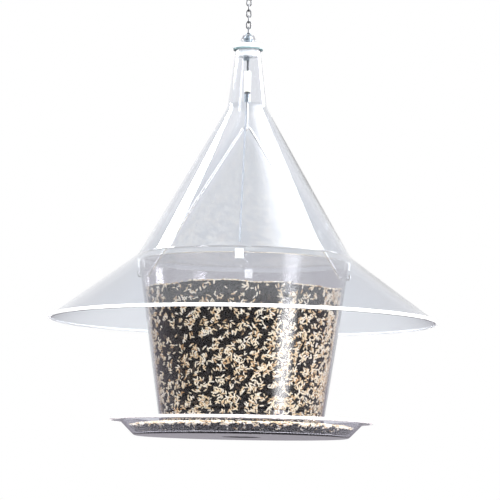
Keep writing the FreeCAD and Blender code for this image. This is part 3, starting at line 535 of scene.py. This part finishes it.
def makeHood():
    s = hood
    inside = s["wall"]
    neckIn = beside(s["neckTop"], s["neckBase"], s["junction"], inside)
    junctionIn = beside(s["neckBase"], s["junction"], s["brim"], inside)
    slope = (Vector(s["brim"]) - Vector(s["junction"])).normalized()
    side = Vector((slope.y, -slope.x)) * inside
    brimIn = Vector(s["brim"]) + side
    lipTurn = (s["neckBase"][0] - s["neckTop"][0]) / (s["neckTop"][1] - s["neckBase"][1])
    topIn = s["neckTop"][0] - s["wall"] * math.hypot(1, lipTurn)
    outline = [
        (*s["neckTop"], 0.5),
        (*s["neckBase"], s["neckBend"]),
        (*s["junction"], s["junctionBend"]),
        (*s["brim"], 0),
        (brimIn.x, brimIn.y, 0),
        (junctionIn.x, junctionIn.y, s["junctionBend"]),
        (neckIn.x, neckIn.y, s["neckBend"]),
        (topIn, s["neckTop"][1], 0.5),
    ]
    turned("hoodShell", outline, s["segments"], clearHood, "hood", "clear_hood", "hood")
    bead = []
    for k in range(16):
        a = 2 * math.pi * k / 16
        bead.append((s["brim"][0] + math.cos(a) * s["bead"], s["brim"][1] + math.sin(a) * s["bead"], 0))
    # the bead carries the painted highlight of the brim's edge
    turned("hoodBead", bead, s["segments"], brimEdgeHighlight, "hood", "clear_hood")


hopper = dict(
    rim=(106.5, 175.3), foot=(82.1, 11.0), wall=2.5, hubRadius=9.0, hubTop=26.0, hubFoot=11.75,
    bore=3.2, armWidth=3.0, armDepth=9.0, rimBend=0.9, segments=224, bailHole=(1.6, 160.2),
)


def wallRadius(height):
    # the hopper's outside radius at a height
    (r1, z1), (r0, z0) = hopper["rim"], hopper["foot"]
    return r0 + (height - z0) * (r1 - r0) / (z1 - z0)


def makeHopper():
    s = hopper
    across = s["wall"] * math.hypot(1, (s["rim"][0] - s["foot"][0]) / (s["rim"][1] - s["foot"][1]))
    outline = [
        (*s["foot"], 0.7),
        (*s["rim"], s["rimBend"]),
        (s["rim"][0] - across, s["rim"][1], s["rimBend"]),
        (s["foot"][0] - across, s["foot"][1], 0.7),
    ]
    turned(
        "hopperShell", outline, s["segments"], clearHopper, "feeder", "clear_hopper", "hopper",
        hole=s["bailHole"],
    )
    turned(
        "hopperHub",
        [(s["bore"], s["hubFoot"], 0.3), (s["hubRadius"], s["hubFoot"], 0.6),
         (s["hubRadius"], s["hubTop"], 0.6), (s["bore"], s["hubTop"], 0.3)],
        64, clearHopper, "feeder", "clear_hopper",
    )
    form = bmesh.new()
    for k in range(4):
        reach = wallRadius(s["hubTop"] - s["armDepth"]) - across + 0.02
        length = (reach - s["hubRadius"]) * mm
        made = bmesh.ops.create_cube(form, size=1)["verts"]
        shape = Matrix.Diagonal((length, s["armWidth"] * mm, s["armDepth"] * mm, 1))
        middle = ((reach + s["hubRadius"]) / 2 * mm, 0, level(s["hubTop"] - s["armDepth"] / 2))
        bmesh.ops.transform(
            form, verts=made,
            matrix=Matrix.Rotation(math.pi / 2 * k, 4, "Z") @ Matrix.Translation(middle) @ shape,
        )
    bmesh.ops.bevel(form, geom=list(form.edges), offset=0.5 * mm, segments=2, affect="EDGES")
    mesh = bpy.data.meshes.new("hopperArms")
    form.to_mesh(mesh)
    form.free()
    mesh.materials.append(clearHopper)
    meshObject("hopperArms", mesh, "feeder", "clear_hopper")


tray = dict(
    bore=3.2, recessTop=(16.5, 8.4), recessFoot=(19.5, 0.0), dishFoot=(108.0, 0.0), dishTop=(122.5, 14.7),
    lip=(132.5, 14.7), wall=3.0, edge=3.0, footBend=4.5, segments=224,
)


def makeTray():
    s = tray
    points = [(s["bore"], s["recessTop"][1])]
    points += [s[corner] for corner in ("recessTop", "recessFoot", "dishFoot", "dishTop", "lip")]
    bends = [0.3, 1.0, 1.2, s["footBend"], 1.6, 0]
    inner = []
    for a, b, c in zip(points, points[1:], points[2:]):
        inner.append(beside(a, b, c, -s["wall"]))
    lipEnd = (s["lip"][0] - s["edge"], s["lip"][1])
    outline = [(*p, bend) for p, bend in zip(points[:-1] + [lipEnd], bends)]
    outline.append((lipEnd[0], s["lip"][1] + s["wall"], 0))
    innerBends = [1.0, 1.2, s["footBend"] * 0.5, 1.2]
    for p, bend in zip(reversed(inner), reversed(innerBends)):
        outline.append((p.x, p.y, bend))
    outline.append((s["bore"], s["recessTop"][1] + s["wall"], 0.3))
    turned("trayShell", outline, s["segments"], clearTray, "tray", "clear_tray", "tray")
    # the lip ring is coloured with a painted highlight for the bright line along the tray's edge
    edge = [
        (lipEnd[0] + 0.02, s["lip"][1], 0), (s["lip"][0], s["lip"][1], 1.2),
        (s["lip"][0], s["lip"][1] + s["wall"], 1.3), (lipEnd[0] + 0.02, s["lip"][1] + s["wall"], 0),
    ]
    turned("trayLip", edge, s["segments"], trayLipHighlight, "tray", "clear_tray")


cap = dict(
    bore=5.0, plugFoot=387.2, plug=9.9, flangeFoot=395.4, flange=15.7, domeFoot=399.8, dome=8.0,
    domeSide=4.5, domeBend=5.0, top=409.8, segments=96,
)


def makeCap():
    s = cap
    plug = [
        (s["bore"], s["plugFoot"], 0.3), (s["plug"], s["plugFoot"], 0.5), (s["plug"], s["flangeFoot"], 0),
        (s["flange"], s["flangeFoot"], 0.8), (s["flange"], s["domeFoot"], 1.2), (s["bore"], s["domeFoot"], 0),
    ]
    turned("capPlug", plug, s["segments"], milkyCap, "hood", "clear_small", "cap")
    collar = [
        (s["bore"], s["domeFoot"] + 0.05, 0), (s["dome"], s["domeFoot"] + 0.05, 0),
        (s["dome"], s["domeFoot"] + s["domeSide"], s["domeBend"]),
        (s["bore"] + 0.6, s["top"], 0.5), (s["bore"], s["top"], 0),
    ]
    turned("capCollar", collar, s["segments"], clearFittings, "hood", "clear_small")


spreader = dict(outer=(40.0, 26.35), nose=(3.0, 56.35), wall=1.8, segments=96)


def makeSpreader():
    # a thin cone that turns the seed outwards, closed at its nose
    s = spreader
    run, height = s["outer"][0] - s["nose"][0], s["nose"][1] - s["outer"][1]
    across = s["wall"] * math.hypot(run, height) / height
    innerTop = s["nose"][1] - s["wall"]
    outline = [
        (*s["outer"], 0.4), (*s["nose"], 1.2), (0.001, s["nose"][1], 0), (0.001, innerTop, 0),
        (s["nose"][0] + s["wall"] * run / height - across, innerTop, 0),
        (s["outer"][0] - across, s["outer"][1], 0),
    ]
    turned("spreaderCone", outline, s["segments"], clearFittings, "feeder", "clear_small", "seed_spreader")


makeHood()
makeHopper()
makeTray()
makeCap()
makeSpreader()
print("turned pieces made")


seam = dict(width=1.2, depth=0.55, low=186.0, high=328.0)


def makeSeam():
    # the rib where the hood's mould closes, down the inside of the cone at the front
    s = seam
    (r0, z0), (r1, z1) = hood["neckBase"], hood["junction"]
    slope = (r1 - r0) / (z0 - z1)
    across = math.hypot(1, slope)
    form = bmesh.new()
    rows = []
    for height in (s["low"], s["high"]):
        skin = r1 - (height - z1) * slope
        rows.append([
            form.verts.new((x * s["width"] / 2 * mm, -(skin - depth * across) * mm, level(height)))
            for x, depth in ((-1, hood["wall"] + 0.02), (-0.6, hood["wall"] + s["depth"]),
                             (0.6, hood["wall"] + s["depth"]), (1, hood["wall"] + 0.02))
        ])
    for k in range(4):
        form.faces.new((rows[0][k], rows[0][(k + 1) % 4], rows[1][(k + 1) % 4], rows[1][k]))
    form.faces.new(rows[0])
    form.faces.new(rows[1])
    bmesh.ops.recalc_face_normals(form, faces=form.faces)
    mesh = bpy.data.meshes.new("hoodSeam")
    form.to_mesh(mesh)
    form.free()
    mesh.materials.append(seamShade)
    meshObject("hoodSeam", mesh, "hood", "clear_hood")


makeSeam()


cream = dict(Length=0.0046, Width=0.0016, Thickness=0.0016, Spacing=0.00135, Density=480000.0, Tilt=0.25)
dark = dict(Length=0.0070, Width=0.0034, Thickness=0.0026, Spacing=0.0029, Density=150000.0, Tilt=0.2)
bedding = dict(segments=160, step=4.0, clumpSize=210.0, clumpLean=(0.45, 0.0, -0.25))
allOver = -1.0  # a clump level that leaves no bare patch
unevenness = dict(waves=((1.0, 3, 0.6), (0.7, 7, 2.1), (0.5, 13, 4)), depth=2.0, start=115, run=30)


def sag(angle, height):
    # how far the seed lies below its full level, in mm
    u = unevenness
    wave = sum(size * math.sin(count * angle + start) for size, count, start in u["waves"])
    share = max(0.0, min(1.0, (height - u["start"]) / u["run"]))
    return share * (1.0 - wave / sum(size for size, count, start in u["waves"])) * u["depth"]


def surfaceBand(name, outline):
    # an open surface of revolution that seeds are laid on, in rows close enough for the clumps to show
    segments = bedding["segments"]
    form = bmesh.new()
    rows = []
    fine = []
    for (r0, z0), (r1, z1) in zip(outline, outline[1:]):
        parts = max(1, round(math.hypot(r1 - r0, z1 - z0) / bedding["step"]))
        fine += [(r0 + (r1 - r0) * k / parts, z0 + (z1 - z0) * k / parts) for k in range(parts)]
    for r, z in fine + [outline[-1]]:
        rows.append([
            form.verts.new((r * mm * math.cos(a), r * mm * math.sin(a), level(z - sag(a, z))))
            for a in (2 * math.pi * k / segments for k in range(segments))
        ])
    for low, high in zip(rows, rows[1:]):
        for k in range(segments):
            form.faces.new((low[k], low[(k + 1) % segments], high[(k + 1) % segments], high[k]))
    mesh = bpy.data.meshes.new(name)
    form.to_mesh(mesh)
    form.free()
    obj = bpy.data.objects.new(name, mesh)
    bpy.context.scene.collection.objects.link(obj)
    return obj


def keepInside(mesh, limit):
    # draws in any point that would stand outside limit(height) in mm
    for vertex in mesh.vertices:
        reach = math.hypot(vertex.co.x, vertex.co.y)
        most = limit((vertex.co.z - footLevel) / mm) * mm
        if reach > most:
            vertex.co.x *= most / reach
            vertex.co.y *= most / reach


def scatter(name, outline, kind, seed, clump, body, material, limit, lean=bedding["clumpLean"]):
    values = dict(kind, Seed=seed, Material=material)
    values["Clump Level"] = clump
    values["Clump Size"] = bedding["clumpSize"]
    values["Clump Lean"] = lean
    mesh = bake(surfaceBand(name + "Bed", outline), seedTree, values, name)
    keepInside(mesh, limit)
    meshObject(name, mesh, body, "seed")
    print(name, len(mesh.polygons), "faces")


hopperSeed = dict(
    top=150.0, foot=12.0, wallAcross=2.53, clearance=0.12, creamDepth=1.4, darkDepth=2.9, heartDepth=5.0,
    heartDrop=7.5, sideClump=0.605, topClump=0.56,
)


def hopperInside(height):
    # the radius that seed reaches at a height
    return wallRadius(height) - hopperSeed["wallAcross"] - hopperSeed["clearance"]


def makeHopperSeed():
    s = hopperSeed
    top, foot = s["top"], s["foot"]

    def bed(depth):
        return [(hopperInside(z) - depth, z) for z in (foot + 3, 40, 80, 120, top - 2)]

    scatter("sideCream", bed(s["creamDepth"]), cream, 11, s["sideClump"], "feeder", creamSeed, hopperInside)
    scatter("sideDark", bed(s["darkDepth"]), dark, 12, allOver, "feeder", darkSeed, hopperInside)
    heap = [(hopperInside(top) - 2, top - 0.5), (60, top + 1.0), (20, top + 2), (2, top)]
    scatter("topCream", heap, cream, 13, s["topClump"], "feeder", creamSeed, hopperInside)
    lower = [(r, z - 1.6) for r, z in heap]
    scatter("topDark", lower, dark, 14, allOver, "feeder", darkSeed, hopperInside)
    heartTop = top - s["heartDrop"]
    # the heart under the laid seeds is coloured with painted shade, so the gaps between them read dark
    core = [
        (0.001, foot, 0), (hopperInside(foot) - s["heartDepth"], foot, 1),
        (hopperInside(top) - s["heartDepth"], heartTop, 1), (0.001, heartTop, 0),
    ]
    turned("seedHeart", core, 96, paintedSeedShade, "feeder", "seed", "seed_fill")


traySeed = dict(
    floor=3.3, rimInset=3.0, heap=((112.0, 10.5), (104.0, 12.6), (92.0, 13.6), (88.6, 13.9)), clump=0.5,
    heartRim=(108.0, 8.0), heartTop=10.2, heartInner=(24.0, 84.0),
)


def trayInside(height):
    # the radius that seed reaches in the tray at a height
    foot, top = tray["dishFoot"], tray["dishTop"]
    return foot[0] - 1.2 + max(0.0, height - tray["wall"]) * (top[0] - foot[0]) / top[1] - 0.2


def makeTraySeed():
    s = traySeed
    heap = [(trayInside(4.5) - s["rimInset"], 4.8), *s["heap"]]
    scatter("trayCream", heap, cream, 21, s["clump"], "tray", creamSeed, trayInside, (0, 0, 0))
    lower = [(r - 1.0, z - 1.8) for r, z in heap]
    scatter("trayDark", lower, dark, 22, allOver, "tray", darkSeed, trayInside)
    near, far = s["heartInner"]
    # the heart under the tray's seeds is coloured with painted shade, so the gaps between them read dark
    core = [
        (near, s["floor"], 0), (trayInside(4.0) - 4.0, s["floor"], 0), (*s["heartRim"], 1),
        (far, s["heartTop"], 1), (near, s["heartTop"], 0),
    ]
    turned("traySeedHeart", core, 96, paintedSeedShade, "tray", "seed", "tray_seed")


makeHopperSeed()
makeTraySeed()
print("seed laid")


finishes = {
    "s_hook": brightWire, "wire_bail": brightWire, "lower_rod": brightWire, "swivel_ball": blueZinc,
    "crimp_ferrule": blueZinc, "lock_nut": blueZinc, "upper_rod": darkSteel, "tray_bolt": darkSteel,
    "tray_washer": darkSteel, "coupling_sleeve": nylon, "rubber_washer": blackRubber,
    "cap_gasket": gasketRubber, "thumb_nut": bluePlastic,
}
for node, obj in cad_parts.items():
    finish = finishes.get(node)
    if node.startswith("chain_link"):
        finish = chainSteel
    if node.startswith("rim_clip"):
        finish = frostedClip
    if finish:
        obj.data.materials.clear()
        obj.data.materials.append(finish)
print("finishes given")


floor = dict(half=12.0, drop=1300)


def makeFloor():
    mesh = bpy.data.meshes.new("studioFloor")
    half, height = floor["half"], level(-floor["drop"])
    mesh.from_pydata(
        [(-half, -half, height), (half, -half, height), (half, half, height), (-half, half, height)],
        [], [(0, 1, 2, 3)],
    )
    obj = bpy.data.objects.new("studioFloor", mesh)
    bpy.context.scene.collection.objects.link(obj)
    obj.data.materials.append(plainPlastic("studioPaper", (0.9, 0.9, 0.9), (0.92, 0.92, 0.92), 0.8, 3))
    obj.visible_glossy = False


room = dict(seen=(1.0, 1.0, 1.0), back=(0.8, 0.82, 0.85), front=(0.03, 0.03, 0.034), above=(0.75, 0.76, 0.78),
            high=(0.98, 0.98, 0.99), below=(0.4, 0.38, 0.42))


def makeWorld():
    # white behind the object, and a softer grey room for what it mirrors and lets through
    world = bpy.data.worlds.new("studio")
    bpy.context.scene.world = world
    world.use_nodes = True
    nodes, links = world.node_tree.nodes, world.node_tree.links
    split = nodes.new("ShaderNodeSeparateXYZ")
    links.new(nodes.new("ShaderNodeTexCoord").outputs["Generated"], split.inputs[0])

    def blend(factor, low, high, first, second):
        spread = nodes.new("ShaderNodeMapRange")
        spread.interpolation_type = "SMOOTHSTEP"
        spread.inputs["From Min"].default_value = low
        spread.inputs["From Max"].default_value = high
        links.new(factor, spread.inputs["Value"])
        mix = nodes.new("ShaderNodeMix")
        mix.data_type = "RGBA"
        links.new(spread.outputs[0], mix.inputs["Factor"])
        for socket, value in (("A", first), ("B", second)):
            if isinstance(value, tuple):
                mix.inputs[socket].default_value = (*value, 1)
            else:
                links.new(value, mix.inputs[socket])
        return mix.outputs["Result"]

    tall = blend(split.outputs[2], -0.03, 0.01, room["below"], room["back"])
    sides = blend(split.outputs[1], -0.35, 0.35, room["front"], tall)
    high = blend(split.outputs[2], 0.15, 0.165, sides, room["high"])
    dome = blend(split.outputs[2], 0.25, 0.8, high, room["above"])
    sight = nodes.new("ShaderNodeLightPath").outputs["Is Camera Ray"]
    colour = blend(sight, 0, 1, dome, room["seen"])
    links.new(colour, nodes["Background"].inputs["Color"])


def softenEdges(lamp, soft, side):
    # lets the light fade towards both upright edges, or towards one of them
    lamp.use_nodes = True
    nodes, links = lamp.node_tree.nodes, lamp.node_tree.links
    split = nodes.new("ShaderNodeSeparateXYZ")
    links.new(nodes.new("ShaderNodeNewGeometry").outputs["Parametric"], split.inputs[0])
    away = nodes.new("ShaderNodeMath")
    away.operation = "SUBTRACT"
    away.inputs[1].default_value = 0.5
    links.new(split.outputs[0], away.inputs[0])
    size = nodes.new("ShaderNodeMath")
    size.operation = "MULTIPLY" if side else "ABSOLUTE"
    size.inputs[1].default_value = side
    links.new(away.outputs[0], size.inputs[0])
    fade = nodes.new("ShaderNodeMapRange")
    fade.interpolation_type = "SMOOTHSTEP"
    fade.inputs["From Min"].default_value = 0.5 - (soft if side else soft / 2)
    fade.inputs["From Max"].default_value = 0.5
    fade.inputs["To Min"].default_value = 1
    fade.inputs["To Max"].default_value = 0
    links.new(size.outputs[0], fade.inputs["Value"])
    strength = fade.outputs[0]
    if side:
        bow = nodes.new("ShaderNodeMath")
        bow.operation = "PINGPONG"
        bow.inputs[1].default_value = 0.5
        links.new(split.outputs[1], bow.inputs[0])
        ease = nodes.new("ShaderNodeMapRange")
        ease.interpolation_type = "SMOOTHSTEP"
        ease.inputs["From Max"].default_value = 0.4
        links.new(bow.outputs[0], ease.inputs["Value"])
        both = nodes.new("ShaderNodeMath")
        both.operation = "MULTIPLY"
        links.new(strength, both.inputs[0])
        links.new(ease.outputs[0], both.inputs[1])
        strength = both.outputs[0]
    links.new(strength, nodes["Emission"].inputs["Strength"])


def areaLight(name, place, aim, width, height, power, soft, side):
    lamp = bpy.data.lights.new(name, "AREA")
    lamp.shape = "RECTANGLE"
    lamp.size, lamp.size_y = width, height
    lamp.energy = power
    if soft:
        softenEdges(lamp, soft, side)
    obj = bpy.data.objects.new(name, lamp)
    bpy.context.scene.collection.objects.link(obj)
    obj.location = place
    obj.rotation_euler = (Vector(aim) - Vector(place)).to_track_quat("-Z", "Y").to_euler()
    return obj


centre = Vector((0, 0, level(200)))


def around(azimuth, elevation, distance):
    # azimuth from the back towards +X, in degrees
    a, e = math.radians(azimuth), math.radians(elevation)
    return centre + Vector((math.sin(a) * math.cos(e), math.cos(a) * math.cos(e), math.sin(e))) * distance


lamps = dict(
    # place as azimuth, elevation and distance, width, height, power, soft part, faded side
    leftBox=((-63, 34, 2.2), 0.62, 1.0, 50, 0.15, 0),
    rightBox=((105, 50, 2.3), 2.8, 2.2, 150, 0.8, -1),
    sideStrip=((124, -4, 2.4), 1.3, 2.3, 84, 1.0, 0),
    neckBox=((56, 19, 2.3), 0.6, 0.9, 60, 0.2, 0),
    frontFill=((190, 20, 2.6), 1.6, 1.2, 155, 0, 0),
)


def makeLights():
    for name, (place, width, height, power, soft, side) in lamps.items():
        lamp = areaLight(name, around(*place), centre, width, height, power, soft, side)
        if name == "frontFill":
            lamp.visible_glossy = False
            lamp.visible_transmission = False


view = dict(distance=2.5, below=73.8, azimuth=2.7, aimHeight=189.2, aimRight=5.5, roll=1.03, lens=178.7)


def makeCamera():
    s = view
    a = math.radians(s["azimuth"])
    place = Vector((math.sin(a) * s["distance"], -math.cos(a) * s["distance"], level(-s["below"])))
    right = Vector((math.cos(a), math.sin(a), 0))
    aim = Vector((0, 0, level(s["aimHeight"]))) + right * s["aimRight"] * mm
    data = bpy.data.cameras.new("camera")
    data.lens = s["lens"]
    data.sensor_width = 36
    obj = bpy.data.objects.new("camera", data)
    bpy.context.scene.collection.objects.link(obj)
    turn = (aim - place).to_track_quat("-Z", "Y").to_matrix().to_4x4()
    obj.matrix_world = Matrix.Translation(place) @ turn @ Matrix.Rotation(math.radians(s["roll"]), 4, "Z")
    bpy.context.scene.camera = obj


makeFloor()
makeWorld()
makeLights()
makeCamera()
bpy.context.scene.view_settings.view_transform = "Standard"
for kind in ("max_bounces", "transmission_bounces", "glossy_bounces", "transparent_max_bounces"):
    setattr(bpy.context.scene.cycles, kind, 24)
print("studio set")
